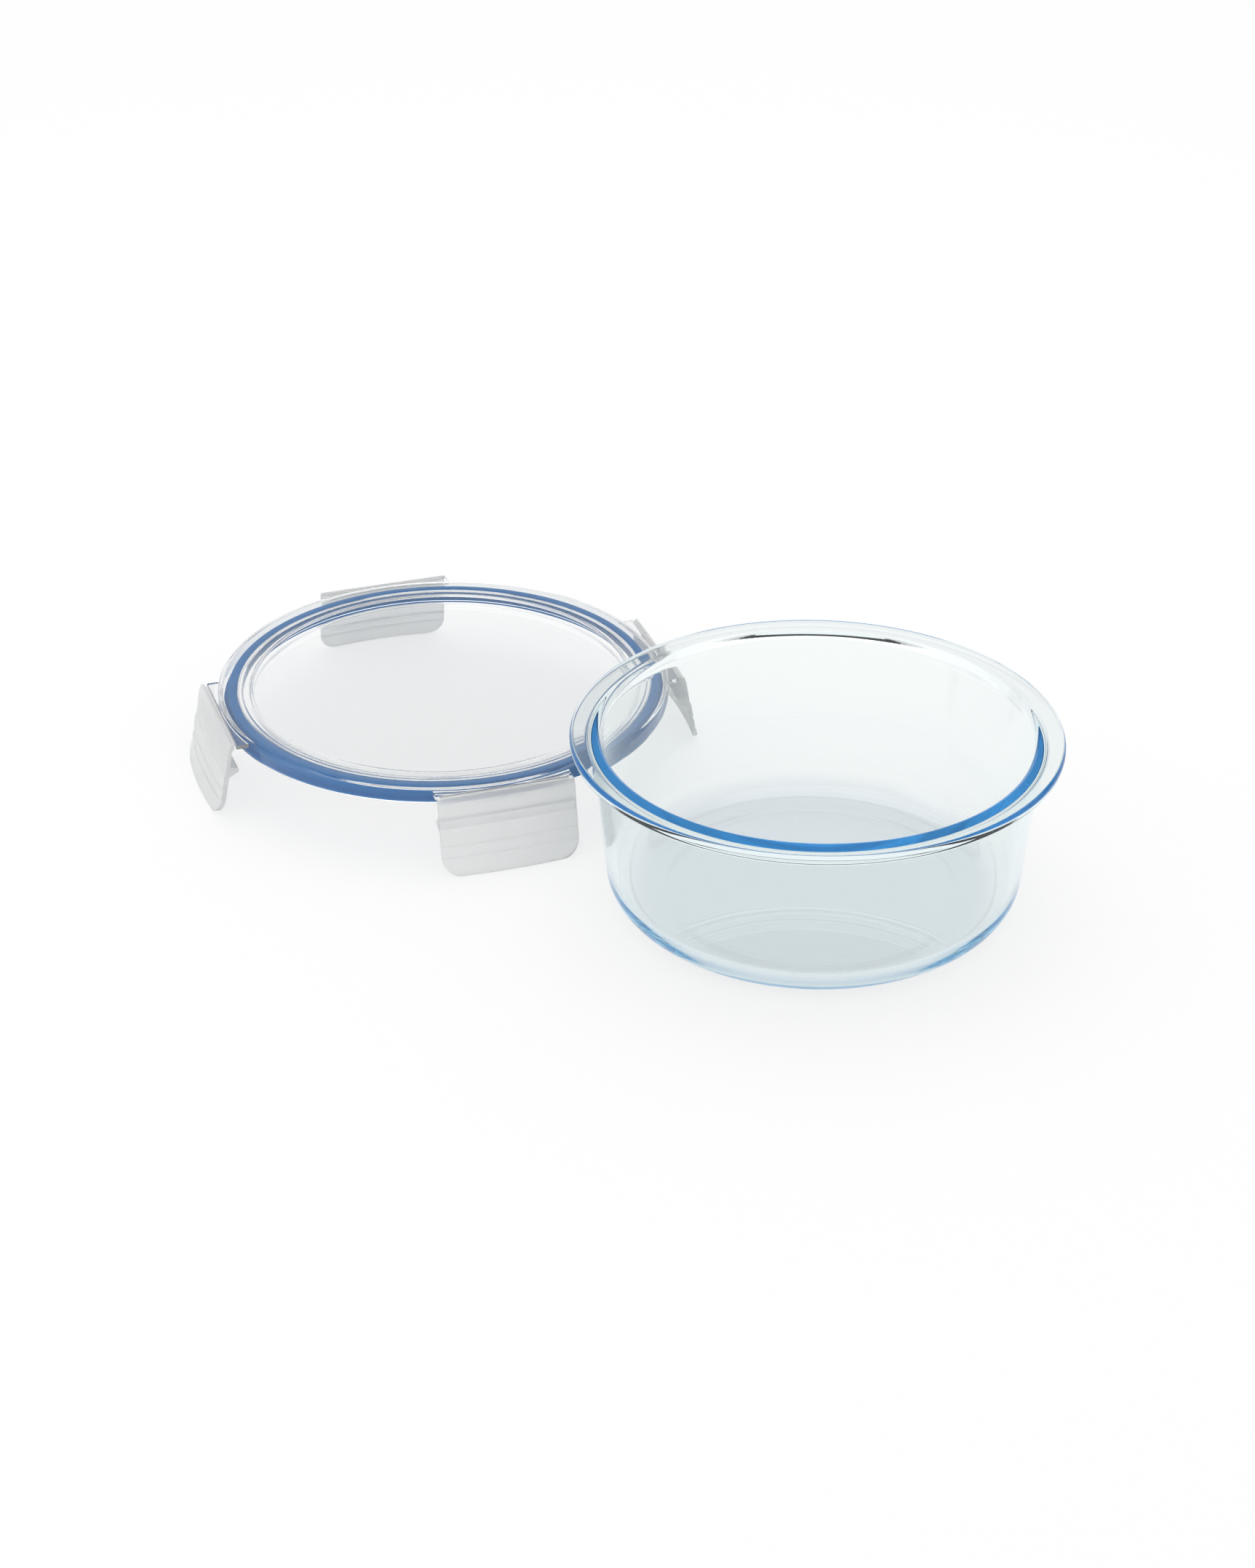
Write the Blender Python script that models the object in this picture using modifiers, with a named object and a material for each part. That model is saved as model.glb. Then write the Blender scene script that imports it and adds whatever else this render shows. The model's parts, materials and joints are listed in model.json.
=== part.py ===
"""Round glass storage bowl with a four-latch plastic lid and a silicone seal.

The bowl stands on its base. The lid is off the bowl and stands beside it on its
four latch flaps, top side up. Sizes are in metres, +Z is up, and the origin is
the centre of the bowl's base.
"""

import math

import bmesh
import bpy
from mathutils import Matrix, Vector

# ---------------------------------------------------------------- bowl sizes
BOWL_HEIGHT = 0.0675
RIM_RADIUS = 0.0880
RIM_THICKNESS = 0.0039
RIM_EDGE_ROUND = 0.0017
RIM_INNER_ROUND = 0.0026
RIM_OVERHANG = 0.0079
NECK_ROUND = 0.0030
HEEL_TAPER = 0.0062
HEEL_ROUND = 0.0150
WALL = 0.0036
FLOOR = 0.0046
INNER_HEEL_ROUND = 0.0120
FOOT_GROOVE_INSET = 0.0224
FOOT_GROOVE_WIDTH = 0.0030
FOOT_GROOVE_DEPTH = 0.0007

# ---------------------------------------------------------------- lid sizes
LID_INSET = 0.0017
LID_EDGE_ROUND = 0.0011
PLATE = 0.0016
SKIRT_WALL = 0.0016
SKIRT_DEPTH = 0.0063
SKIRT_ROUND = 0.0003
PANEL_DEPTH = 0.0043
PANEL_WALL = 0.0015
PANEL_ROUND = 0.0010
PANEL_TOP_ROUND = 0.0008
PANEL_UNDER_ROUND = 0.0005
PANEL_SPACE = 0.0029
GROOVE_ROUND = 0.0004
SEAL_RIB_WALL = 0.0014
SEAL_RIB_DEPTH = 0.0050

# ---------------------------------------------------------------- seal sizes
SEAL_SIDE_GAP = 0.0005
SEAL_WIDTH = 0.0036
SEAL_DEPTH = 0.0069
SEAL_LIP_REACH = 0.0018
SEAL_LIP_THICKNESS = 0.0010
SEAL_ROUND = 0.0004

# ---------------------------------------------------------------- latch sizes
LATCH_NAMES = ("right", "back", "left", "front")
LATCH_AZIMUTH = math.radians(22.0)
LATCH_HALF_WIDTH = 0.0262
LATCH_LENGTH = 0.0296
LATCH_THICKNESS = 0.0019
LATCH_BULGE = 0.0020
LATCH_FLARE = 0.0014
LATCH_CORNER_ROUND = 0.0075
LATCH_FACE_ROUND = 0.0008
LATCH_EDGE_ROUND = 0.0005
LATCH_STATION = 0.0032
LATCH_COLUMNS = 12
LATCH_SPLAY = math.radians(9.0)
HINGE_BEAD_RADIUS = 0.0009
BEAD_TOP_SHARE = 0.9
BEAD_SIDE_SHARE = 0.6
HINGE_DROP = 0.0020
HOOK_REACH = 0.0034
HOOK_HEIGHT = 0.0042
HOOK_NOSE = 0.0015
HOOK_END = 0.05
HOOK_END_SHARE = 0.4
CORNER_LIMIT = 0.96
FLARE_START = 0.8
TAB_THICKNESS = 0.0016
TAB_PIECES = 12

# ---------------------------------------------------------------- fits
FIT_GAP = 0.0003
HINGE_GAP = 0.0005
RIM_CLEARANCE = 0.0005

# ---------------------------------------------------------------- layout
LID_SPACING = 0.0028
LID_AZIMUTH = math.radians(145.82)
STEPS = 64

# Values that follow from the sizes above.
NECK_RADIUS = RIM_RADIUS - RIM_OVERHANG
HEEL_RADIUS = NECK_RADIUS - HEEL_TAPER
FOOT_GROOVE_RADIUS = HEEL_RADIUS - FOOT_GROOVE_INSET
LID_RADIUS = RIM_RADIUS - LID_INSET
GROOVE_OUTER = LID_RADIUS - SKIRT_WALL
SEAL_RADIUS = GROOVE_OUTER - SEAL_SIDE_GAP - SEAL_LIP_REACH
RIB_OUTER = SEAL_RADIUS - SEAL_WIDTH - FIT_GAP
RIB_INNER = RIB_OUTER - SEAL_RIB_WALL
PANEL_RADIUS = RIB_INNER - PANEL_SPACE - PANEL_WALL
LID_DISTANCE = RIM_RADIUS + LID_RADIUS + LID_SPACING
LID_PLACE = (LID_DISTANCE * math.cos(LID_AZIMUTH), LID_DISTANCE * math.sin(LID_AZIMUTH))
LID_TOP = HINGE_DROP + LATCH_LENGTH * math.cos(LATCH_SPLAY) - LATCH_FLARE * math.sin(LATCH_SPLAY)
HINGE_RADIUS = RIM_RADIUS + RIM_CLEARANCE
TAB_EDGE = HINGE_RADIUS - HINGE_BEAD_RADIUS - HINGE_GAP
HOOK_TOP = SKIRT_DEPTH + RIM_THICKNESS + FIT_GAP - HINGE_DROP
MESH_MERGE = 0.00001


# ---------------------------------------------------------------- helpers
def new_collection(name):
    """Add a collection to the scene."""
    collection = bpy.data.collections.new(name)
    bpy.context.scene.collection.children.link(collection)
    return collection


def clear_scene():
    """Remove every object that the scene holds."""
    for obj in list(bpy.data.objects):
        bpy.data.objects.remove(obj, do_unlink=True)


def material(name, color, roughness, transmission=0.0, ior=1.45):
    """Make a Principled material."""
    mat = bpy.data.materials.new(name)
    mat.use_nodes = True
    shader = mat.node_tree.nodes["Principled BSDF"]
    shader.inputs["Base Color"].default_value = (*color, 1.0)
    shader.inputs["Roughness"].default_value = roughness
    shader.inputs["Metallic"].default_value = 0.0
    shader.inputs["Transmission Weight"].default_value = transmission
    shader.inputs["IOR"].default_value = ior
    return mat


def rounded_path(corners, closed=False, pieces=3):
    """Turn corners (x, z, radius) into points, with each corner as an arc."""
    points = []
    count = len(corners)
    for i, (x, z, radius) in enumerate(corners):
        here = Vector((x, z))
        at_end = not closed and i in (0, count - 1)
        if at_end or radius <= 0.0:
            points.append(here)
            continue
        before = Vector(corners[i - 1][:2]) - here
        after = Vector(corners[(i + 1) % count][:2]) - here
        half = before.angle(after) / 2.0
        reach = radius / math.tan(half)
        start = here + before.normalized() * reach
        centre = here + (before.normalized() + after.normalized()).normalized() * (radius / math.sin(half))
        sweep = math.pi - 2.0 * half
        turn = math.copysign(sweep, before.normalized().cross(after.normalized()) * -1.0)
        arm = start - centre
        for k in range(pieces + 1):
            points.append(centre + Matrix.Rotation(turn * k / pieces, 2) @ arm)
    return points


def finish_object(obj, mat, collection):
    """Give an object its material and its collection."""
    obj.data.materials.append(mat)
    collection.objects.link(obj)
    return obj


def turned(name, path, mat, collection, closed=False):
    """Turn a profile in the XZ plane about Z. It runs down its outer side."""
    mesh = bpy.data.meshes.new(name)
    count = len(path)
    edges = [(i, i + 1) for i in range(count - 1)]
    if closed:
        edges.append((count - 1, 0))
    mesh.from_pydata([(p.x, 0.0, p.y) for p in path], edges, [])
    obj = finish_object(bpy.data.objects.new(name, mesh), mat, collection)
    screw = obj.modifiers.new("Turn", "SCREW")
    screw.axis = "Z"
    screw.angle = 2.0 * math.pi
    screw.steps = STEPS
    screw.render_steps = STEPS
    screw.use_merge_vertices = True
    screw.merge_threshold = MESH_MERGE
    screw.use_smooth_shade = True
    return obj


def boolean(obj, other, operation):
    """Join or cut with another object, which is kept as a hidden tool."""
    mod = obj.modifiers.new(operation.title(), "BOOLEAN")
    mod.operation = operation
    mod.solver = "EXACT"
    mod.object = other
    other.hide_render = True
    other.display_type = "WIRE"


# ---------------------------------------------------------------- bowl
def bowl_path():
    """Outline of the bowl's wall, from the floor's centre over the rim to the base."""
    rim_bottom = BOWL_HEIGHT - RIM_THICKNESS
    lean = (NECK_RADIUS - HEEL_RADIUS) / rim_bottom
    inner_top = NECK_RADIUS - WALL + lean * RIM_THICKNESS
    inner_heel = HEEL_RADIUS - WALL + lean * FLOOR
    groove_in = FOOT_GROOVE_RADIUS - FOOT_GROOVE_WIDTH / 2.0
    groove_out = FOOT_GROOVE_RADIUS + FOOT_GROOVE_WIDTH / 2.0
    corners = [
        (0.0, FLOOR, 0.0),
        (inner_heel, FLOOR, INNER_HEEL_ROUND),
        (inner_top, BOWL_HEIGHT, RIM_INNER_ROUND),
        (RIM_RADIUS, BOWL_HEIGHT, RIM_EDGE_ROUND),
        (RIM_RADIUS, rim_bottom, RIM_EDGE_ROUND),
        (NECK_RADIUS, rim_bottom, NECK_ROUND),
        (HEEL_RADIUS, 0.0, HEEL_ROUND),
        (groove_out, 0.0, 0.0),
        (FOOT_GROOVE_RADIUS, FOOT_GROOVE_DEPTH, 0.0),
        (groove_in, 0.0, 0.0),
        (0.0, 0.0, 0.0),
    ]
    return rounded_path(corners, pieces=4)


def make_bowl(collection):
    """Pressed glass bowl with a flat rim flange, tapered wall and round heel."""
    glass = material("borosilicate_glass", (0.86, 0.93, 0.94), 0.02, 1.0, 1.474)
    return turned("glass_bowl", bowl_path(), glass, collection)


# ---------------------------------------------------------------- lid
def cover_path():
    """Outline of the lid's moulding, with z = 0 at the top of its plate."""
    wall_out = PANEL_RADIUS + PANEL_WALL
    panel_under = PANEL_DEPTH + PLATE
    corners = [
        (0.0, -PANEL_DEPTH, 0.0),
        (PANEL_RADIUS, -PANEL_DEPTH, PANEL_ROUND),
        (PANEL_RADIUS, 0.0, PANEL_TOP_ROUND),
        (LID_RADIUS, 0.0, LID_EDGE_ROUND),
        (LID_RADIUS, -SKIRT_DEPTH, SKIRT_ROUND),
        (GROOVE_OUTER, -SKIRT_DEPTH, SKIRT_ROUND),
        (GROOVE_OUTER, -PLATE, GROOVE_ROUND),
        (RIB_OUTER, -PLATE, 0.0),
        (RIB_OUTER, -SEAL_RIB_DEPTH, 0.0),
        (RIB_INNER, -SEAL_RIB_DEPTH, 0.0),
        (RIB_INNER, -PLATE, 0.0),
        (wall_out, -PLATE, 0.0),
        (wall_out, -panel_under, PANEL_UNDER_ROUND),
        (0.0, -panel_under, 0.0),
    ]
    return rounded_path(corners, pieces=2)


def make_tab(azimuth, plastic, cutters, parent):
    """Tab that carries one latch: a flat piece from the skirt to a straight edge."""
    arc_radius = LID_RADIUS - SKIRT_WALL / 2.0
    half = math.asin(LATCH_HALF_WIDTH / arc_radius)
    outline = [(TAB_EDGE, -LATCH_HALF_WIDTH), (TAB_EDGE, LATCH_HALF_WIDTH)]
    for k in range(TAB_PIECES + 1):
        angle = half - 2.0 * half * k / TAB_PIECES
        outline.append((arc_radius * math.cos(angle), arc_radius * math.sin(angle)))
    curve = bpy.data.curves.new("tab_outline", "CURVE")
    curve.dimensions = "2D"
    curve.fill_mode = "BOTH"
    curve.extrude = TAB_THICKNESS / 2.0
    spline = curve.splines.new("POLY")
    spline.points.add(len(outline) - 1)
    for point, (x, y) in zip(spline.points, outline):
        point.co = (x, y, 0.0, 1.0)
    spline.use_cyclic_u = True
    flat = bpy.data.objects.new("tab_outline", curve)
    cutters.objects.link(flat)
    flat.location = (0.0, 0.0, -HINGE_DROP)
    flat.rotation_euler = (0.0, 0.0, azimuth)
    bpy.context.view_layer.update()
    mesh = bpy.data.meshes.new_from_object(flat.evaluated_get(bpy.context.evaluated_depsgraph_get()))
    shape = bmesh.new()
    shape.from_mesh(mesh)
    bmesh.ops.remove_doubles(shape, verts=shape.verts, dist=MESH_MERGE)
    shape.to_mesh(mesh)
    shape.free()
    tab = bpy.data.objects.new("tab_tool", mesh)
    tab.data.materials.append(plastic)
    cutters.objects.link(tab)
    tab.parent = parent
    tab.matrix_local = flat.matrix_world
    bpy.data.objects.remove(flat)
    return tab


def make_cover(collection, cutters, plastic, parent):
    """Lid moulding: sunk panel, plate, skirt, seal rib and four latch tabs."""
    cover = turned("lid_cover", cover_path(), plastic, collection)
    cover.parent = parent
    for k in range(len(LATCH_NAMES)):
        boolean(cover, make_tab(LATCH_AZIMUTH + k * math.pi / 2.0, plastic, cutters, parent), "UNION")
    return cover


def make_seal(collection, parent):
    """Silicone ring in the lid's groove, with a lip that lies on the glass rim."""
    silicone = material("blue_silicone", (0.02, 0.22, 0.55), 0.35)
    inner = SEAL_RADIUS - SEAL_WIDTH
    top = -PLATE - FIT_GAP
    lip_top = -SEAL_DEPTH + SEAL_LIP_THICKNESS
    lip = SEAL_RADIUS + SEAL_LIP_REACH
    corners = [
        (inner, top, SEAL_ROUND),
        (SEAL_RADIUS, top, SEAL_ROUND),
        (SEAL_RADIUS, lip_top, 0.0),
        (lip, lip_top, 0.0),
        (lip, -SEAL_DEPTH, 0.0),
        (inner, -SEAL_DEPTH, SEAL_ROUND),
    ]
    seal = turned("seal_ring", rounded_path(corners, closed=True, pieces=2), silicone, collection, closed=True)
    seal.parent = parent
    return seal


# ---------------------------------------------------------------- latches
def with_stations(path, spacing):
    """Add points along the long sides of a closed path."""
    points = []
    for i, point in enumerate(path):
        after = path[(i + 1) % len(path)]
        pieces = max(1, round((after - point).length / spacing))
        points.extend(point.lerp(after, k / pieces) for k in range(pieces))
    return points


def latch_section():
    """Section of a latch across its hinge: x outwards, z up, hinge axis at 0, 0."""
    bead = HINGE_BEAD_RADIUS
    hook_bottom = HOOK_TOP + HOOK_HEIGHT
    corners = [
        (0.0, bead, bead * BEAD_TOP_SHARE),
        (bead, bead, bead * BEAD_TOP_SHARE),
        (LATCH_THICKNESS, -2.0 * bead, LATCH_FACE_ROUND),
        (LATCH_THICKNESS, -LATCH_LENGTH, LATCH_EDGE_ROUND),
        (0.0, -LATCH_LENGTH, 0.0),
        (0.0, -hook_bottom, 0.0),
        (-HOOK_REACH, -HOOK_TOP - HOOK_NOSE, LATCH_EDGE_ROUND),
        (-HOOK_REACH, -HOOK_TOP, LATCH_EDGE_ROUND),
        (0.0, -HOOK_TOP, 0.0),
        (0.0, -2.0 * bead, 0.0),
        (-bead, 0.0, bead * BEAD_SIDE_SHARE),
    ]
    return with_stations(rounded_path(corners, closed=True, pieces=2), LATCH_STATION)


def shape_latch_point(x, y, z):
    """Bulge the latch outwards, flare its lower edge and round its lower corners."""
    depth = min(max(-z / LATCH_LENGTH, 0.0), 1.0)
    across = y / LATCH_HALF_WIDTH
    ease = depth * depth * (3.0 - 2.0 * depth)
    out = LATCH_BULGE * ease * (1.0 - across * across)
    flare = LATCH_FLARE * max(0.0, (depth - FLARE_START) / (1.0 - FLARE_START)) ** 2
    low = -z - (LATCH_LENGTH - LATCH_CORNER_ROUND)
    width = LATCH_HALF_WIDTH
    if low > 0.0:
        low = min(low, LATCH_CORNER_ROUND * CORNER_LIMIT)
        width -= LATCH_CORNER_ROUND - math.sqrt(LATCH_CORNER_ROUND**2 - low**2)
    if x < 0.0 and abs(across) > 1.0 - HOOK_END and z < -HOOK_TOP / 2.0:
        x *= HOOK_END_SHARE
    return x + out + flare, across * width, z


def latch_mesh():
    """Latch flap, drawn hanging straight down, with its hinge axis along Y."""
    section = latch_section()
    shape = bmesh.new()
    start = -LATCH_HALF_WIDTH
    verts = [shape.verts.new((p.x, start, p.y)) for p in section]
    layer = [shape.faces.new(verts)]
    step = Vector((0.0, 2.0 * LATCH_HALF_WIDTH / LATCH_COLUMNS, 0.0))
    for k in range(LATCH_COLUMNS):
        grown = bmesh.ops.extrude_face_region(shape, geom=layer)
        if k > 0:
            bmesh.ops.delete(shape, geom=layer, context="FACES_ONLY")
        moved = [g for g in grown["geom"] if isinstance(g, bmesh.types.BMVert)]
        layer = [g for g in grown["geom"] if isinstance(g, bmesh.types.BMFace)]
        bmesh.ops.translate(shape, verts=moved, vec=step)
    for vert in shape.verts:
        vert.co = shape_latch_point(*vert.co)
    bmesh.ops.recalc_face_normals(shape, faces=shape.faces)
    bmesh.ops.triangulate(shape, faces=[f for f in shape.faces if len(f.verts) > 4])
    mesh = bpy.data.meshes.new("latch")
    shape.to_mesh(mesh)
    shape.free()
    mesh.shade_smooth()
    mesh.set_sharp_from_angle(angle=math.radians(35.0))
    return mesh


def make_latches(collection, plastic, parent):
    """Four latches round the lid, each with its origin on its hinge axis."""
    mesh = latch_mesh()
    mesh.materials.append(plastic)
    latches = []
    for k, place in enumerate(LATCH_NAMES):
        azimuth = LATCH_AZIMUTH + k * math.pi / 2.0
        latch = bpy.data.objects.new("latch_" + place, mesh)
        collection.objects.link(latch)
        latch.parent = parent
        hinge = Matrix.Rotation(azimuth, 4, "Z") @ Matrix.Translation((HINGE_RADIUS, 0.0, -HINGE_DROP))
        latch.matrix_local = hinge @ Matrix.Rotation(-LATCH_SPLAY, 4, "Y")
        latches.append(latch)
    return latches


def main():
    clear_scene()
    parts = new_collection("glass_storage_container")
    cutters = new_collection("tools")
    plastic = material("translucent_polypropylene", (0.85, 0.87, 0.90), 0.35, 0.8, 1.49)
    make_bowl(parts)
    lid = bpy.data.objects.new("lid", None)
    lid.location = (LID_PLACE[0], LID_PLACE[1], LID_TOP)
    parts.objects.link(lid)
    bpy.context.view_layer.update()
    make_cover(parts, cutters, plastic, lid)
    make_seal(parts, lid)
    make_latches(parts, plastic, lid)


main()
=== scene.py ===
"""Looks of a round glass storage bowl and the latching plastic lid that stands beside it.

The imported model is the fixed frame. Each operator models one piece or one group of like pieces in place of
its plain solids, and the last one sets the studio. Lengths are in metres unless a name says mm.
"""

import json
import math

import bmesh
import bpy
from bpy.props import FloatProperty, FloatVectorProperty, IntProperty, PointerProperty, StringProperty
from bpy.types import Operator, Panel, PropertyGroup
from mathutils import Matrix, Vector

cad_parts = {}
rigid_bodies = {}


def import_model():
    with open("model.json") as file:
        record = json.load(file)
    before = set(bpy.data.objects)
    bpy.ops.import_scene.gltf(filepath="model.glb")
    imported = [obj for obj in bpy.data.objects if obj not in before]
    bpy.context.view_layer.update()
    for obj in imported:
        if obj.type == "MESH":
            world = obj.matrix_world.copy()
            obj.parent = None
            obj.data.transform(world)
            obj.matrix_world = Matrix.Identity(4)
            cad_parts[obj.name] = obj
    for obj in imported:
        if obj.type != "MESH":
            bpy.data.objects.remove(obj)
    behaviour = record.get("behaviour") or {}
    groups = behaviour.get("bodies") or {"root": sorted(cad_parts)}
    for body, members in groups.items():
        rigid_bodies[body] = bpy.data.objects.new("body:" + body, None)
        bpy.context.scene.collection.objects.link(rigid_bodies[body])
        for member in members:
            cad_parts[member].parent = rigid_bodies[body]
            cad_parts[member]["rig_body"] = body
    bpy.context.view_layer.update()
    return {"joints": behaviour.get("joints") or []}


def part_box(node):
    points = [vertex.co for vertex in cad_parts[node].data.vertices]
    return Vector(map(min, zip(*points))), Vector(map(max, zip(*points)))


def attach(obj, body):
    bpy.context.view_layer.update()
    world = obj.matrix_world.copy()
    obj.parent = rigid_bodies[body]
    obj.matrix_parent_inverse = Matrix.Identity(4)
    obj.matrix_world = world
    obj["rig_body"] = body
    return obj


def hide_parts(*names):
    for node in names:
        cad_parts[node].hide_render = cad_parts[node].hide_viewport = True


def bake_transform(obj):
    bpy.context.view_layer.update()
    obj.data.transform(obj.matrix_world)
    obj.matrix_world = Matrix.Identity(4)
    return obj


bl_info = {
    "name": "Glass Storage Container",
    "version": (1, 0, 0),
    "blender": (4, 5, 0),
    "location": "View3D > Sidebar > Container",
    "description": "Models a pressed glass bowl, its latching lid and a plain studio",
    "category": "Object",
}

MM = 0.001
FULL_TURN = 2.0 * math.pi
MERGE = 0.002 * MM
HINGE_GAP = 0.5 * MM
SEAL_FIT = 0.3 * MM
TAB_THICKNESS = 1.6 * MM
WEB_THICKNESS = 0.35 * MM
CARD_DISTANCE = 1.6
CARD_WIDTH = 6.0
FLOOR_WIDTH = 12.0
PAPER_GLOW = 0.72
WORLD_LIGHT = 0.97
BOUNCES = 64
DIFFUSE_BOUNCES = 8

# ---------------------------------------------------------------- the frame
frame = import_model()
BOWL_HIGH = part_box("glass_bowl")[1]
COVER_LOW, COVER_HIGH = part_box("lid_cover")
SEAL_LOW, SEAL_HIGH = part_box("seal_ring")
LID_MIDDLE = (COVER_LOW + COVER_HIGH) / 2.0
LID_TOP = COVER_HIGH.z
HINGES = [joint for joint in frame["joints"] if joint["type"] == "hinge"]
HINGE_POINT = Vector(HINGES[0]["pos_m"])
HINGE_RADIUS = (HINGE_POINT - LID_MIDDLE).to_2d().length


# ---------------------------------------------------------------- sizes and colours
class BowlSettings(PropertyGroup):
    """Sizes and colour of the pressed glass bowl."""

    height: FloatProperty(name="Height", description="Base to rim", default=BOWL_HIGH.z, unit="LENGTH")
    rim_radius: FloatProperty(name="Rim radius", description="Outside of the rim", default=BOWL_HIGH.x, unit="LENGTH")
    rim_depth: FloatProperty(name="Rim depth", description="Depth of the rim's flange", default=3.9 * MM, unit="LENGTH")
    neck_radius: FloatProperty(name="Neck radius", description="Wall under the rim", default=80.1 * MM, unit="LENGTH")
    heel_radius: FloatProperty(name="Heel radius", description="Wall at the base", default=73.9 * MM, unit="LENGTH")
    heel_round: FloatProperty(name="Heel rounding", description="Outer heel", default=15.0 * MM, unit="LENGTH")
    inner_round: FloatProperty(name="Inner rounding", description="Inner heel", default=12.0 * MM, unit="LENGTH")
    wall: FloatProperty(name="Wall", description="Thickness of the wall", default=3.6 * MM, unit="LENGTH")
    floor: FloatProperty(name="Floor", description="Thickness of the floor", default=4.6 * MM, unit="LENGTH")
    foot_radius: FloatProperty(name="Foot ring", description="Groove in the base", default=51.5 * MM, unit="LENGTH")
    steps: IntProperty(name="Steps", description="Facets round the bowl", default=224, min=24)
    tint: FloatVectorProperty(name="Tint", description="Colour in the depth of the glass", subtype="COLOR", size=3,
                              default=(0.35, 0.75, 0.91), min=0.0, max=1.0)
    depth: FloatProperty(name="Tint density", description="Absorption per metre", default=20.0, min=0.0)
    body: StringProperty(name="Wall shade", description="Shade of the wall, sRGB hex", default="#FDFDFB")
    # Painted shade: the greyer base colour stands in for the shadow under the bowl.
    base: StringProperty(name="Base shade", description="Shade of the thick base, sRGB hex", default="#EFF2F4")


class LidSettings(PropertyGroup):
    """Sizes and colours of the lid's moulding and its seal."""

    radius: FloatProperty(name="Radius", description="Outside of the skirt", default=86.3 * MM, unit="LENGTH")
    plate: FloatProperty(name="Plate", description="Thickness of the plate", default=1.6 * MM, unit="LENGTH")
    skirt: FloatProperty(name="Skirt", description="Depth of the skirt", default=6.3 * MM, unit="LENGTH")
    skirt_wall: FloatProperty(name="Skirt wall", description="Thickness of the skirt", default=1.6 * MM,
                              unit="LENGTH")
    panel_radius: FloatProperty(name="Panel radius", description="Sunk panel", default=72.7 * MM, unit="LENGTH")
    panel_drop: FloatProperty(name="Panel depth", description="How far it is sunk", default=4.3 * MM, unit="LENGTH")
    panel_wall: FloatProperty(name="Panel wall", description="Wall round the panel", default=1.5 * MM, unit="LENGTH")
    rib_wall: FloatProperty(name="Rib wall", description="Rib inside the seal", default=1.4 * MM, unit="LENGTH")
    rib_depth: FloatProperty(name="Rib depth", description="Depth of the rib", default=5.0 * MM, unit="LENGTH")
    seal_radius: FloatProperty(name="Seal radius", description="Body of the seal", default=82.4 * MM, unit="LENGTH")
    seal_width: FloatProperty(name="Seal width", description="Body of the seal", default=3.6 * MM, unit="LENGTH")
    seal_lip: FloatProperty(name="Seal lip", description="Thickness of its lip", default=1.0 * MM, unit="LENGTH")
    steps: IntProperty(name="Steps", description="Facets round the lid", default=224, min=24)
    plastic: StringProperty(name="Plastic", description="Colour of the plastic, sRGB hex", default="#FDFEFE")
    silicone: StringProperty(name="Silicone", description="Colour of the seal, sRGB hex", default="#007CC8")


class LatchSettings(PropertyGroup):
    """Sizes of the four hinged latches."""

    half_width: FloatProperty(name="Half width", description="Along the hinge", default=26.2 * MM, unit="LENGTH")
    length: FloatProperty(name="Length", description="Hinge to lower edge", default=29.6 * MM, unit="LENGTH")
    thickness: FloatProperty(name="Thickness", description="Of the flap", default=1.9 * MM, unit="LENGTH")
    bulge: FloatProperty(name="Bulge", description="Bow of the flap", default=2.0 * MM, unit="LENGTH")
    flare: FloatProperty(name="Flare", description="Lift of the lower edge", default=1.4 * MM, unit="LENGTH")
    corner: FloatProperty(name="Corner", description="Lower corners' rounding", default=7.5 * MM, unit="LENGTH")
    splay: FloatProperty(name="Splay", description="Lean of a loose latch", default=math.radians(9.0),
                         subtype="ANGLE")
    bead: FloatProperty(name="Bead", description="Radius of the hinge bead", default=0.9 * MM, unit="LENGTH")
    hook_drop: FloatProperty(name="Hook drop", description="Hinge to hook", default=8.5 * MM, unit="LENGTH")
    hook_reach: FloatProperty(name="Hook reach", description="How far it reaches", default=3.4 * MM, unit="LENGTH")
    hook_height: FloatProperty(name="Hook height", description="Of the hook", default=4.2 * MM, unit="LENGTH")


class StudioSettings(PropertyGroup):
    """Camera and light of the studio."""

    lens: FloatProperty(name="Lens", description="Focal length in mm", default=77.0)
    camera_place: FloatVectorProperty(name="Camera", description="Where it stands", size=3,
                                      default=(0.0, -1.0462, 0.6416), subtype="TRANSLATION")
    camera_tilt: FloatProperty(name="Tilt", description="From straight down", default=math.radians(60.28),
                               subtype="ANGLE")
    camera_turn: FloatProperty(name="Turn", description="About the vertical", default=math.radians(3.69),
                               subtype="ANGLE")
    lamp_power: FloatProperty(name="Lamp power", description="Main softbox, in watts", default=3.0, unit="POWER")
    paper: StringProperty(name="Paper", description="Colour of the floor, sRGB hex", default="#FFFFFF")


# ---------------------------------------------------------------- small helpers
def linear(code):
    """Linear colour of an sRGB hex code such as #1C74B8."""
    parts = [int(code[k:k + 2], 16) / 255.0 for k in (1, 3, 5)]
    return tuple(c / 12.92 if c <= 0.04045 else ((c + 0.055) / 1.055) ** 2.4 for c in parts)


def add_node(tree, kind, place, links=(), sockets=None, **settings):
    """Adds a node, sets its properties and sockets, and links (its socket, other node, other socket)."""
    node = tree.nodes.new(kind)
    node.location = place
    for key, value in settings.items():
        setattr(node, key, value)
    for key, value in (sockets or {}).items():
        node.inputs[key].default_value = value
    for socket, other, output in links:
        tree.links.new(other.outputs[output], node.inputs[socket])
    return node


def new_material(name):
    """A material with an empty node tree, and its output node."""
    material = bpy.data.materials.new(name)
    material.use_nodes = True
    material.node_tree.nodes.clear()
    output = add_node(material.node_tree, "ShaderNodeOutputMaterial", (600, 0))
    return material, material.node_tree, output


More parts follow.
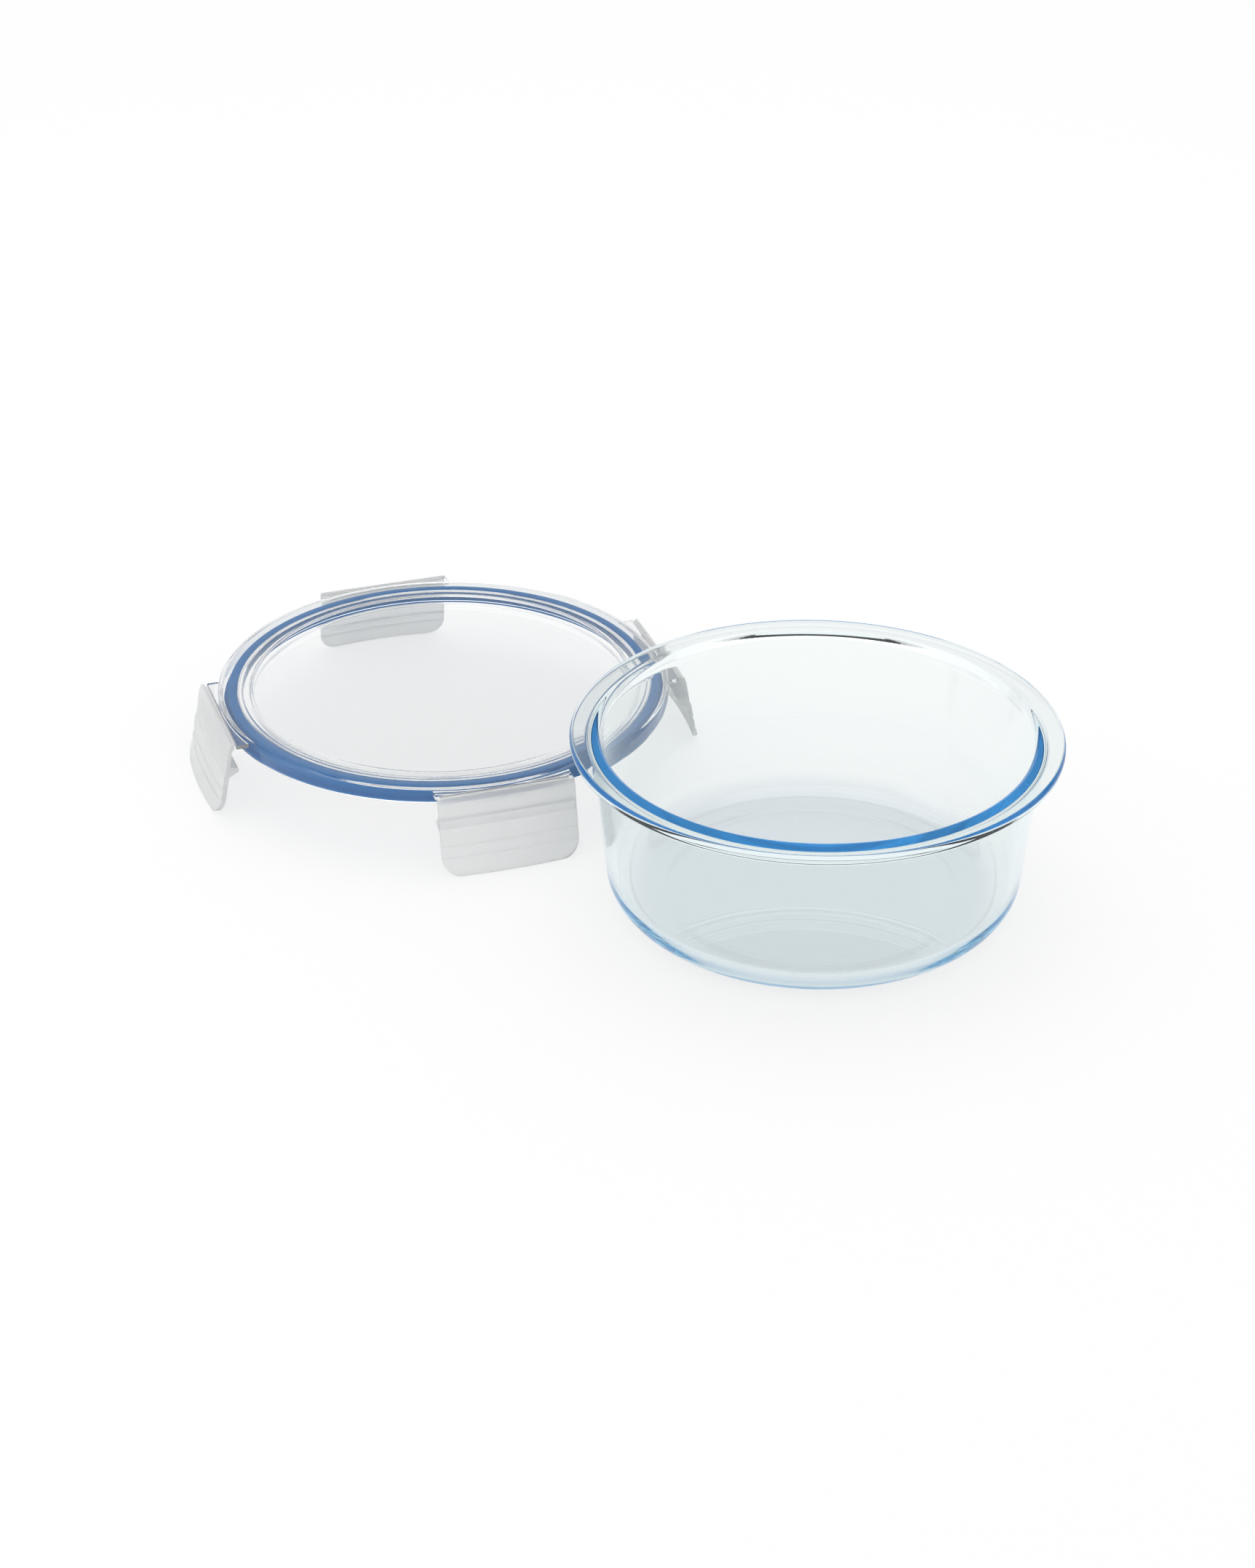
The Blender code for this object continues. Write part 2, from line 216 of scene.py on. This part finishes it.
def select_none():
    """Leaves edit mode and deselects every object."""
    if bpy.context.mode != "OBJECT":
        bpy.ops.object.mode_set(mode="OBJECT")
    bpy.ops.object.select_all(action="DESELECT")


def select_vertices(test):
    """In edit mode, selects just the vertices whose place passes the test."""
    piece = bpy.context.object
    shape = bmesh.from_edit_mesh(piece.data)
    for part in (shape.verts, shape.edges, shape.faces):
        for element in part:
            element.select_set(False)
    for vertex in shape.verts:
        if test(piece.matrix_world @ vertex.co):
            vertex.select_set(True)
    shape.select_flush(True)
    bmesh.update_edit_mesh(piece.data)


def draw_outline(name, corners, middle, closed=False, segments=6):
    """Extrudes a point from corner to corner (x, z, rounding) in the XZ plane, and rounds the corners."""
    select_none()
    first = middle + Vector((corners[0][0], 0.0, corners[0][1]))
    bpy.ops.mesh.primitive_plane_add(size=MM, enter_editmode=True, location=first)
    bpy.context.object.name = name
    bpy.ops.mesh.select_mode(type="VERT")
    bpy.ops.mesh.merge(type="CENTER")
    route = corners + corners[:1] if closed else corners
    for here, after in zip(route, route[1:]):
        step = (after[0] - here[0], 0.0, after[1] - here[1])
        bpy.ops.mesh.extrude_vertices_move(TRANSFORM_OT_translate={"value": step})
    bpy.ops.mesh.select_all(action="SELECT")
    bpy.ops.mesh.remove_doubles(threshold=MERGE)
    for k, corner in enumerate(corners):
        if corner[2] > 0.0:
            round_corner(corners, k, middle, segments)


def round_corner(corners, k, middle, segments):
    """Bevels one corner of an outline to its rounding."""
    x, z, rounding = corners[k]
    here = Vector((x, z))
    before = Vector(corners[k - 1][:2]) - here
    after = Vector(corners[(k + 1) % len(corners)][:2]) - here
    reach = rounding / math.tan(before.angle(after) / 2.0)
    spot = middle + Vector((x, 0.0, z))
    select_vertices(lambda place: (place - spot).length < 10.0 * MERGE)
    bpy.ops.mesh.bevel(offset=reach, segments=segments, affect="VERTICES", clamp_overlap=False)


def finish_piece(name, material, body, slot, *nodes, angle=35.0):
    """Applies a piece's place, shades it, gives it its material and its body, and hides the solids it stands for."""
    if bpy.context.mode != "OBJECT":
        bpy.ops.object.mode_set(mode="OBJECT")
    piece = bpy.context.object
    piece.name = name
    piece.data.name = name
    bpy.ops.object.transform_apply(location=True, rotation=True, scale=True)
    bpy.ops.object.shade_smooth_by_angle(angle=math.radians(angle))
    piece.data.materials.clear()
    piece.data.materials.append(material)
    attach(piece, body)
    if nodes:
        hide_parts(*nodes)
    return piece


def spin_outline(middle, steps):
    """Spins the outline being edited a full turn about the vertical through the middle."""
    bpy.ops.mesh.select_all(action="SELECT")
    bpy.ops.mesh.spin(steps=steps, angle=FULL_TURN, center=middle, axis=(0.0, 0.0, 1.0))
    bpy.ops.mesh.select_all(action="SELECT")
    bpy.ops.mesh.remove_doubles(threshold=MERGE)
    bpy.ops.mesh.normals_make_consistent(inside=False)


def use_boolean(piece, other, operation):
    """Joins, cuts or trims the piece with another object, which is then removed."""
    select_none()
    bpy.context.view_layer.objects.active = piece
    piece.select_set(True)
    modifier = piece.modifiers.new(operation.title(), "BOOLEAN")
    modifier.operation = operation
    modifier.solver = "EXACT"
    modifier.object = other
    bpy.ops.object.modifier_apply(modifier=modifier.name)
    bpy.data.objects.remove(other)


# ---------------------------------------------------------------- materials
def pressed_glass(settings):
    """Borosilicate glass, pressed in a mould: clear in the wall, blue where light runs far inside it."""
    material, tree, output = new_material("borosilicate_glass_pressed")
    place = add_node(tree, "ShaderNodeTexCoord", (-900, 0))
    # The plunger leaves swells about 14 mm across in the skin, which bend the highlights slightly.
    swell = add_node(tree, "ShaderNodeTexNoise", (-650, 0), [("Vector", place, "Object")],
                     sockets={"Scale": 1.0 / (14.0 * MM), "Detail": 1.0, "Roughness": 0.4})
    bump = add_node(tree, "ShaderNodeBump", (-350, -150), [("Height", swell, "Fac")],
                    sockets={"Strength": 0.25, "Distance": 0.05 * MM})
    # Painted shade: the base, and the wall up to 6 mm above the inner floor, is coloured greyer than the wall above,
    # standing in for the shadow under the bowl.
    height = add_node(tree, "ShaderNodeSeparateXYZ", (-650, 300), [("Vector", place, "Object")])
    share = add_node(tree, "ShaderNodeMapRange", (-450, 300), [("Value", height, "Z")],
                     sockets={"From Min": settings.floor, "From Max": settings.floor + 6.0 * MM})
    shade = add_node(tree, "ShaderNodeValToRGB", (-250, 300), [("Fac", share, "Result")])
    shade.color_ramp.elements[0].color = (*linear(settings.base), 1.0)
    shade.color_ramp.elements[1].color = (*linear(settings.body), 1.0)
    glass = add_node(tree, "ShaderNodeBsdfPrincipled", (100, 0),
                     [("Normal", bump, "Normal"), ("Base Color", shade, "Color")],
                     sockets={"Roughness": 0.0, "IOR": 1.474, "Transmission Weight": 1.0})
    # Red is lost first on the long way round inside the rim and heel, which leaves their edges blue.
    depth = add_node(tree, "ShaderNodeVolumeAbsorption", (-50, -500),
                     sockets={"Color": (*settings.tint, 1.0), "Density": settings.depth})
    tree.links.new(glass.outputs["BSDF"], output.inputs["Surface"])
    tree.links.new(depth.outputs["Volume"], output.inputs["Volume"])
    return material


def moulded_polypropylene(settings, name, clear, haze):
    """Natural polypropylene, injection moulded: milky, clearer where it is thin, with a soft satin skin."""
    material, tree, output = new_material(name)
    place = add_node(tree, "ShaderNodeTexCoord", (-1100, 0))
    # Melt flow leaves cloudy streaks about 20 mm long.
    cloud = add_node(tree, "ShaderNodeTexNoise", (-850, 150), [("Vector", place, "Object")],
                     sockets={"Scale": 1.0 / (20.0 * MM), "Detail": 2.0, "Roughness": 0.5})
    # The mould's fine texture has grains about 0.6 mm across.
    grain = add_node(tree, "ShaderNodeTexNoise", (-850, -250), [("Vector", place, "Object")],
                     sockets={"Scale": 1.0 / (0.6 * MM), "Detail": 2.0, "Roughness": 0.5})
    satin = add_node(tree, "ShaderNodeMapRange", (-550, 150), [("Value", cloud, "Fac")],
                     sockets={"From Min": 0.3, "From Max": 0.7, "To Min": haze * 0.8, "To Max": haze * 1.25})
    bump = add_node(tree, "ShaderNodeBump", (-550, -250), [("Height", grain, "Fac")],
                    sockets={"Strength": 0.15, "Distance": 0.02 * MM})
    plastic = add_node(tree, "ShaderNodeBsdfPrincipled", (-50, 0),
                       [("Roughness", satin, "Result"), ("Normal", bump, "Normal")],
                       sockets={"Base Color": (*linear(settings.plastic), 1.0), "IOR": 1.49,
                                "Transmission Weight": clear})
    tree.links.new(plastic.outputs["BSDF"], output.inputs["Surface"])
    return material


def moulded_silicone(settings):
    """Silicone rubber, compression moulded: deep translucent blue with a soft, slightly dusty skin."""
    material, tree, output = new_material("silicone_rubber_moulded")
    place = add_node(tree, "ShaderNodeTexCoord", (-900, 0))
    # Talc and handling leave patches about 3 mm across that dull the skin.
    dust = add_node(tree, "ShaderNodeTexNoise", (-650, 0), [("Vector", place, "Object")],
                    sockets={"Scale": 1.0 / (3.0 * MM), "Detail": 3.0, "Roughness": 0.6})
    dull = add_node(tree, "ShaderNodeMapRange", (-350, 0), [("Value", dust, "Fac")],
                    sockets={"From Min": 0.3, "From Max": 0.7, "To Min": 0.28, "To Max": 0.42})
    rubber = add_node(tree, "ShaderNodeBsdfPrincipled", (-50, 0), [("Roughness", dull, "Result")],
                      sockets={"Base Color": (*linear(settings.silicone), 1.0), "IOR": 1.41,
                               "Specular IOR Level": 0.25})
    tree.links.new(rubber.outputs["BSDF"], output.inputs["Surface"])
    return material


def sweep_paper(settings):
    """White sweep paper, evenly lit from the front, that keeps part of the object's shadow."""
    material, tree, output = new_material("sweep_paper")
    rays = add_node(tree, "ShaderNodeLightPath", (-700, 200))
    seen = add_node(tree, "ShaderNodeMath", (-450, 250),
                    [(0, rays, "Is Camera Ray"), (1, rays, "Is Glossy Ray")], operation="MAXIMUM")
    seen = add_node(tree, "ShaderNodeMath", (-250, 250),
                    [(0, seen, "Value"), (1, rays, "Is Transmission Ray")], operation="MAXIMUM")
    share = add_node(tree, "ShaderNodeMath", (-50, 250), [(0, seen, "Value")], operation="MULTIPLY",
                     sockets={1: PAPER_GLOW})
    matt = add_node(tree, "ShaderNodeBsdfDiffuse", (-50, 0), sockets={"Color": (*linear("#F4F4F4"), 1.0)})
    glow = add_node(tree, "ShaderNodeEmission", (-50, -200),
                    sockets={"Color": (*linear(settings.paper), 1.0), "Strength": 1.0})
    both = add_node(tree, "ShaderNodeMixShader", (300, 0),
                    [(0, share, "Value"), (1, matt, "BSDF"), (2, glow, "Emission")])
    tree.links.new(both.outputs["Shader"], output.inputs["Surface"])
    return material


def card_paint(name, code):
    """Studio card that only the glass and the gloss see."""
    material, tree, output = new_material(name)
    glow = add_node(tree, "ShaderNodeEmission", (0, 0),
                    sockets={"Color": (*linear(code), 1.0), "Strength": 1.0})
    tree.links.new(glow.outputs["Emission"], output.inputs["Surface"])
    return material


# ---------------------------------------------------------------- pieces
class CONTAINER_OT_bowl(Operator):
    """Spin the bowl's section into the pressed glass bowl"""

    bl_idname = "container.bowl"
    bl_label = "Glass Bowl"

    def execute(self, context):
        size = context.scene.container_bowl
        rim_low = size.height - size.rim_depth
        lean = (size.neck_radius - size.heel_radius) / rim_low
        inner_top = size.neck_radius - size.wall + lean * size.rim_depth
        inner_heel = size.heel_radius - size.wall + lean * size.floor
        groove = 3.0 * MM
        corners = [
            (0.0, size.floor, 0.0),
            (inner_heel, size.floor, size.inner_round),
            (inner_top, size.height, 2.6 * MM),
            (size.rim_radius, size.height, 1.7 * MM),
            (size.rim_radius, rim_low, 1.7 * MM),
            (size.neck_radius, rim_low, 3.0 * MM),
            (size.heel_radius, 0.0, size.heel_round),
            (size.foot_radius + groove, 0.0, 28.0 * MM),
            (size.foot_radius, 0.2 * MM, 28.0 * MM),
            (size.foot_radius - groove, 0.0, 28.0 * MM),
            (0.0, 0.0, 0.0),
        ]
        middle = Vector((0.0, 0.0, 0.0))
        draw_outline("bowl", corners, middle, segments=10)
        spin_outline(middle, size.steps)
        finish_piece("bowl", pressed_glass(size), "bowl", "bowl_glass", "glass_bowl", angle=60.0)
        return {"FINISHED"}


class CONTAINER_OT_cover(Operator):
    """Spin the lid's section and join its four hinge tabs"""

    bl_idname = "container.cover"
    bl_label = "Lid Moulding"

    def execute(self, context):
        size = context.scene.container_lid
        latch = context.scene.container_latch
        rib_out = size.seal_radius - size.seal_width - SEAL_FIT
        rib_in = rib_out - size.rib_wall
        inner = size.radius - size.skirt_wall
        wall_out = size.panel_radius + size.panel_wall
        under = size.panel_drop + size.plate
        corners = [
            (0.0, -size.panel_drop, 0.0),
            (size.panel_radius, -size.panel_drop, 1.0 * MM),
            (size.panel_radius, 0.0, 0.8 * MM),
            (size.radius, 0.0, 1.1 * MM),
            (size.radius, -size.skirt, 0.4 * MM),
            (inner, -size.skirt, 0.4 * MM),
            (inner, -size.plate, 0.6 * MM),
            (rib_out, -size.plate, 0.3 * MM),
            (rib_out, -size.rib_depth, 0.4 * MM),
            (rib_in, -size.rib_depth, 0.4 * MM),
            (rib_in, -size.plate, 0.3 * MM),
            (wall_out, -size.plate, 0.3 * MM),
            (wall_out, -under, 0.5 * MM),
            (0.0, -under, 0.0),
        ]
        middle = Vector((LID_MIDDLE.x, LID_MIDDLE.y, LID_TOP))
        draw_outline("cover", corners, middle, segments=5)
        spin_outline(middle, size.steps)
        bpy.ops.object.mode_set(mode="OBJECT")
        cover = bpy.context.object
        for joint in HINGES:
            use_boolean(cover, self.tab(joint, size, latch), "UNION")
        plastic = moulded_polypropylene(size, "polypropylene_lid", 1.0, 0.03)
        finish_piece("cover", plastic, "lid", "lid_plastic", "lid_cover")
        return {"FINISHED"}

    def tab(self, joint, size, latch):
        """Flat tab from inside the skirt out to the hinge line of one latch."""
        inside = size.radius - size.skirt_wall * 0.9
        start = inside * math.cos(math.asin(latch.half_width / inside))
        edge = HINGE_RADIUS - latch.bead - HINGE_GAP
        select_none()
        bpy.ops.mesh.primitive_cube_add(size=1.0)
        tab = bpy.context.object
        tab.scale = (edge - start, 2.0 * latch.half_width, TAB_THICKNESS)
        bpy.ops.object.transform_apply(location=False, rotation=False, scale=True)
        bpy.ops.object.mode_set(mode="EDIT")
        select_vertices(lambda place: place.x > 0.0)
        bpy.ops.mesh.bevel(offset=0.4 * MM, segments=3, affect="EDGES")
        bpy.ops.object.mode_set(mode="OBJECT")
        middle = Vector(((start + edge) / 2.0 - HINGE_RADIUS, 0.0, 0.0))
        tab.matrix_world = hinge_frame(joint) @ Matrix.Translation(middle)
        bpy.ops.object.transform_apply(location=True, rotation=True, scale=True)
        use_boolean(tab, self.disc(size), "DIFFERENCE")
        return tab

    def disc(self, size):
        """Cutter that keeps a tab clear of the groove inside the skirt."""
        select_none()
        bpy.ops.mesh.primitive_cylinder_add(vertices=256, radius=size.radius - size.skirt_wall * 0.5, depth=0.02,
                                            location=(LID_MIDDLE.x, LID_MIDDLE.y, LID_TOP))
        disc = bpy.context.object
        bpy.ops.object.transform_apply(location=True, rotation=True, scale=True)
        return disc


def hinge_frame(joint):
    """Place of one hinge: X outwards, Y along its axis, Z up."""
    axis = Vector(joint["axis"])
    azimuth = math.atan2(axis.x, -axis.y)
    point = Vector(joint["pos_m"])
    return Matrix.Translation(point) @ Matrix.Rotation(azimuth, 4, "Z")


class CONTAINER_OT_seal(Operator):
    """Spin the seal's section into the silicone ring"""

    bl_idname = "container.seal"
    bl_label = "Silicone Seal"

    def execute(self, context):
        size = context.scene.container_lid
        inner = size.seal_radius - size.seal_width
        lip = SEAL_HIGH.x - LID_MIDDLE.x
        lip_top = SEAL_LOW.z + size.seal_lip
        corners = [
            (inner, SEAL_HIGH.z, 0.5 * MM),
            (size.seal_radius, SEAL_HIGH.z, 0.5 * MM),
            (size.seal_radius, lip_top, 0.4 * MM),
            (lip, lip_top, 0.3 * MM),
            (lip, SEAL_LOW.z, 0.3 * MM),
            (inner, SEAL_LOW.z, 0.5 * MM),
        ]
        middle = Vector((LID_MIDDLE.x, LID_MIDDLE.y, 0.0))
        draw_outline("seal", corners, middle, closed=True, segments=5)
        spin_outline(middle, size.steps)
        finish_piece("seal", moulded_silicone(size), "lid", "seal_silicone", "seal_ring")
        return {"FINISHED"}


class CONTAINER_OT_latches(Operator):
    """Model one latch flap, copy it to the four hinges and add their thin hinge webs"""

    bl_idname = "container.latches"
    bl_label = "Latches"

    columns = 24

    def execute(self, context):
        size = context.scene.container_latch
        lid = context.scene.container_lid
        plastic = moulded_polypropylene(lid, "polypropylene_latch", 0.6, 0.45)
        flap = self.flap(size)
        for joint in HINGES:
            self.copy_flap(flap, joint, size, plastic)
            self.web(joint, size, plastic)
        bpy.data.objects.remove(flap)
        return {"FINISHED"}

    def section(self, size):
        """Section of a flap: bead, ribbed outer face, lower edge and hook."""
        bead = size.bead
        hook_low = size.hook_drop + size.hook_height
        thick = size.thickness
        rib = 0.5 * MM
        corners = [
            (0.0, bead, bead * 0.8),
            (bead, bead, bead * 0.8),
            (thick - rib, -2.0 * bead, 0.8 * MM),
            (thick - rib, -11.2 * MM, 0.3 * MM),
            (thick, -12.0 * MM, 0.3 * MM),
            (thick, -17.4 * MM, 0.2 * MM),
            (thick - rib, -18.2 * MM, 0.2 * MM),
            (thick, -19.0 * MM, 0.2 * MM),
            (thick, -21.8 * MM, 0.2 * MM),
            (thick - rib, -22.6 * MM, 0.2 * MM),
            (thick, -23.4 * MM, 0.2 * MM),
            (thick, -size.length, 0.7 * MM),
            (0.0, -size.length, 0.4 * MM),
            (0.0, -hook_low, 0.8 * MM),
            (-size.hook_reach, -size.hook_drop - size.hook_height * 0.35, 0.5 * MM),
            (-size.hook_reach, -size.hook_drop, 0.5 * MM),
            (0.0, -size.hook_drop, 0.4 * MM),
            (0.0, -2.0 * bead, 0.4 * MM),
            (-bead, 0.0, bead * 0.5),
        ]
        return corners

    def flap(self, size):
        """Extrudes the section along the hinge, trims its outline and bows it."""
        draw_outline("flap", self.section(size), Vector((0.0, -size.half_width, 0.0)), closed=True, segments=4)
        bpy.ops.mesh.select_all(action="SELECT")
        bpy.ops.mesh.edge_face_add()
        step = (0.0, 2.0 * size.half_width / self.columns, 0.0)
        for k in range(self.columns):
            bpy.ops.mesh.extrude_region_move(TRANSFORM_OT_translate={"value": step})
        bpy.ops.mesh.select_all(action="SELECT")
        bpy.ops.mesh.remove_doubles(threshold=MERGE)
        bpy.ops.mesh.normals_make_consistent(inside=False)
        bpy.ops.object.mode_set(mode="OBJECT")
        bpy.ops.object.transform_apply(location=True, rotation=True, scale=True)
        flap = bpy.context.object
        use_boolean(flap, self.outline(size), "INTERSECT")
        self.bow(flap, size)
        return flap

    def outline(self, size):
        """Front outline of a flap, with its lower corners rounded, as a thick block."""
        select_none()
        bpy.ops.mesh.primitive_cube_add(size=1.0, location=(0.0, 0.0, -size.length / 2.0 + 5.0 * MM))
        block = bpy.context.object
        block.scale = (30.0 * MM, 2.0 * size.half_width, size.length + 10.0 * MM)
        bpy.ops.object.transform_apply(location=True, rotation=True, scale=True)
        bpy.ops.object.mode_set(mode="EDIT")
        bpy.ops.mesh.select_mode(type="EDGE")
        shape = bmesh.from_edit_mesh(block.data)
        for edge in shape.edges:
            low = all(v.co.z < 0.0 for v in edge.verts)
            along = abs(edge.verts[0].co.x - edge.verts[1].co.x) > 0.01
            edge.select_set(low and along)
        bmesh.update_edit_mesh(block.data)
        bpy.ops.mesh.bevel(offset=size.corner, segments=12, affect="EDGES")
        bpy.ops.object.mode_set(mode="OBJECT")
        return block

    def bow(self, flap, size):
        """Bows the flap's lower part outwards with a lattice, as its moulding follows the lid's curve."""
        select_none()
        bpy.ops.object.add(type="LATTICE", location=(0.0, 0.0, -size.length / 2.0))
        cage = bpy.context.object
        cage.scale = (20.0 * MM, 2.0 * size.half_width, size.length)
        cage.data.points_u, cage.data.points_v, cage.data.points_w = 2, 7, 6
        for point in cage.data.points:
            depth = 0.5 - point.co.z
            across = 2.0 * point.co.y
            ease = depth * depth * (3.0 - 2.0 * depth)
            out = size.bulge * ease * (1.0 - across * across)
            out += size.flare * max(0.0, (depth - 0.7) / 0.3) ** 2
            point.co_deform.x = point.co.x + out / cage.scale.x
        bpy.context.view_layer.update()
        select_none()
        bpy.context.view_layer.objects.active = flap
        flap.select_set(True)
        modifier = flap.modifiers.new("Bow", "LATTICE")
        modifier.object = cage
        bpy.ops.object.modifier_apply(modifier=modifier.name)
        bpy.data.objects.remove(cage)

    def copy_flap(self, flap, joint, size, plastic):
        """Copies the flap to one hinge, leaning out as a loose latch does."""
        select_none()
        copy = flap.copy()
        copy.data = flap.data.copy()
        bpy.context.scene.collection.objects.link(copy)
        copy.matrix_world = hinge_frame(joint) @ Matrix.Rotation(-size.splay, 4, "Y")
        bpy.context.view_layer.objects.active = copy
        copy.select_set(True)
        body = joint["child"]
        finish_piece("flap_" + body.split("_")[1], plastic, body, "lid_plastic", body)

    def web(self, joint, size, plastic):
        """Thin web that joins a tab to its latch."""
        edge = -size.bead - HINGE_GAP
        select_none()
        bpy.ops.mesh.primitive_grid_add(x_subdivisions=10, y_subdivisions=12, size=1.0)
        web = bpy.context.object
        web.scale = (-edge + 0.7 * MM, 2.0 * size.half_width - 3.0 * MM, 1.0)
        bpy.ops.object.transform_apply(location=False, rotation=False, scale=True)
        bpy.ops.object.mode_set(mode="EDIT")
        bpy.ops.mesh.select_all(action="SELECT")
        bpy.ops.mesh.solidify(thickness=WEB_THICKNESS)
        bpy.ops.mesh.select_all(action="SELECT")
        bpy.ops.mesh.normals_make_consistent(inside=False)
        bpy.ops.object.mode_set(mode="OBJECT")
        web.matrix_world = hinge_frame(joint) @ Matrix.Translation((edge / 2.0 - 0.15 * MM, 0.0, 0.45 * MM))
        name = "web_" + joint["child"].split("_")[1]
        finish_piece(name, plastic, "lid", "lid_plastic")
        # The web belongs to two bodies, so it is taken off the body it was just given.
        web.parent = None
        del web["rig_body"]
        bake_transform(web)


# ---------------------------------------------------------------- studio
class CONTAINER_OT_studio(Operator):
    """Set the paper floor, the soft lamps, the studio cards and the camera"""

    bl_idname = "container.studio"
    bl_label = "Studio"

    def execute(self, context):
        size = context.scene.container_studio
        self.floor(size)
        self.world(context.scene, size)
        self.lamps(size)
        self.cards()
        self.camera(context.scene, size)
        context.scene.view_settings.view_transform = "Standard"
        # Light winds many times through a glass rim before it leaves it.
        context.scene.cycles.max_bounces = BOUNCES
        context.scene.cycles.glossy_bounces = BOUNCES
        context.scene.cycles.transmission_bounces = BOUNCES
        context.scene.cycles.diffuse_bounces = DIFFUSE_BOUNCES
        return {"FINISHED"}

    def floor(self, size):
        """Lays the paper that the container stands on."""
        select_none()
        bpy.ops.mesh.primitive_plane_add(size=FLOOR_WIDTH, location=(0.0, 0.0, -0.02 * MM))
        floor = bpy.context.object
        floor.name = "paper_floor"
        floor.data.materials.append(sweep_paper(size))

    def world(self, scene, size):
        """Lights the studio evenly, and shows white behind the glass."""
        world = bpy.data.worlds.new("studio")
        world.use_nodes = True
        scene.world = world
        tree = world.node_tree
        tree.nodes.clear()
        rays = add_node(tree, "ShaderNodeLightPath", (-700, 0))
        seen = add_node(tree, "ShaderNodeMath", (-450, 0),
                        [(0, rays, "Is Camera Ray"), (1, rays, "Is Transmission Ray")], operation="MAXIMUM")
        seen = add_node(tree, "ShaderNodeMath", (-450, -200),
                        [(0, seen, "Value"), (1, rays, "Is Glossy Ray")], operation="MAXIMUM")
        level = add_node(tree, "ShaderNodeMapRange", (-200, 0), [("Value", seen, "Value")],
                         sockets={"To Min": WORLD_LIGHT, "To Max": 1.0})
        light = add_node(tree, "ShaderNodeBackground", (50, 0),
                         [("Strength", level, "Result")], sockets={"Color": (1.0, 1.0, 1.0, 1.0)})
        output = add_node(tree, "ShaderNodeOutputWorld", (300, 0))
        tree.links.new(light.outputs["Background"], output.inputs["Surface"])

    def lamps(self, size):
        """Hangs a large softbox over the back and a weaker one at the left."""
        for name, place, width, power in (
            ("softbox_top", (-0.1, 0.35, 1.3), 1.2, size.lamp_power),
            ("softbox_left", (-1.3, -0.3, 0.9), 0.8, size.lamp_power * 0.35),
        ):
            lamp = bpy.data.lights.new(name, "AREA")
            lamp.size = width
            lamp.energy = power
            holder = bpy.data.objects.new(name, lamp)
            bpy.context.scene.collection.objects.link(holder)
            holder.location = place
            holder.rotation_euler = (-Vector(place)).to_track_quat("-Z", "Y").to_euler()

    def cards(self):
        """Stands flags behind the table: dark ones draw thin lines in the glass, a grey one calms its gloss."""
        for name, height, code, mirrored in (
            ("flag_low", (0.33, 0.50), "#05070C", False),
            ("flag_high", (1.30, 2.00), "#05070C", False),
            ("flag_middle", (0.55, 1.45), "#A4AAB0", True),
        ):
            flag = self.card(name, card_paint(name, code), height)
            flag.visible_glossy = mirrored
            flag.visible_transmission = not mirrored

    def card(self, name, paint, height):
        """Upright card behind the table that the camera and the floor don't see."""
        select_none()
        bpy.ops.mesh.primitive_plane_add(size=1.0, rotation=(math.radians(90.0), 0.0, 0.0))
        card = bpy.context.object
        card.name = name
        card.scale = (CARD_WIDTH, height[1] - height[0], 1.0)
        card.location = (0.0, CARD_DISTANCE, (height[0] + height[1]) / 2.0)
        bpy.ops.object.transform_apply(location=True, rotation=True, scale=True)
        card.data.materials.append(paint)
        card.visible_camera = False
        card.visible_diffuse = False
        card.visible_shadow = False
        return card

    def camera(self, scene, size):
        """Sets the camera that looks down at the bowl and the lid."""
        lens = bpy.data.cameras.new("camera")
        lens.lens = size.lens
        lens.sensor_width = 36.0
        lens.clip_start = 0.01
        camera = bpy.data.objects.new("camera", lens)
        scene.collection.objects.link(camera)
        camera.location = size.camera_place
        camera.rotation_euler = (size.camera_tilt, 0.0, size.camera_turn)
        scene.camera = camera


# ---------------------------------------------------------------- add-on
class CONTAINER_PT_panel(Panel):
    """Lists the container's pieces in the sidebar"""

    bl_label = "Glass Container"
    bl_idname = "CONTAINER_PT_panel"
    bl_space_type = "VIEW_3D"
    bl_region_type = "UI"
    bl_category = "Container"

    def draw(self, context):
        for operator in OPERATORS:
            self.layout.operator(operator.bl_idname)
        for group in ("container_bowl", "container_lid", "container_latch", "container_studio"):
            box = self.layout.box()
            settings = getattr(context.scene, group)
            for key in settings.__annotations__:
                box.prop(settings, key)


SETTINGS = {
    "container_bowl": BowlSettings,
    "container_lid": LidSettings,
    "container_latch": LatchSettings,
    "container_studio": StudioSettings,
}
OPERATORS = (
    CONTAINER_OT_bowl,
    CONTAINER_OT_cover,
    CONTAINER_OT_seal,
    CONTAINER_OT_latches,
    CONTAINER_OT_studio,
)


def register():
    """Registers the settings, the operators and the panel."""
    for name, group in SETTINGS.items():
        bpy.utils.register_class(group)
        setattr(bpy.types.Scene, name, PointerProperty(type=group))
    for operator in OPERATORS:
        bpy.utils.register_class(operator)
    bpy.utils.register_class(CONTAINER_PT_panel)


def unregister():
    """Takes the panel, the operators and the settings out again."""
    bpy.utils.unregister_class(CONTAINER_PT_panel)
    for operator in reversed(OPERATORS):
        bpy.utils.unregister_class(operator)
    for name, group in SETTINGS.items():
        delattr(bpy.types.Scene, name)
        bpy.utils.unregister_class(group)


def main():
    """Models every piece in order."""
    register()
    bpy.ops.container.bowl()
    bpy.ops.container.cover()
    bpy.ops.container.seal()
    bpy.ops.container.latches()
    bpy.ops.container.studio()


if __name__ == "__main__":
    main()
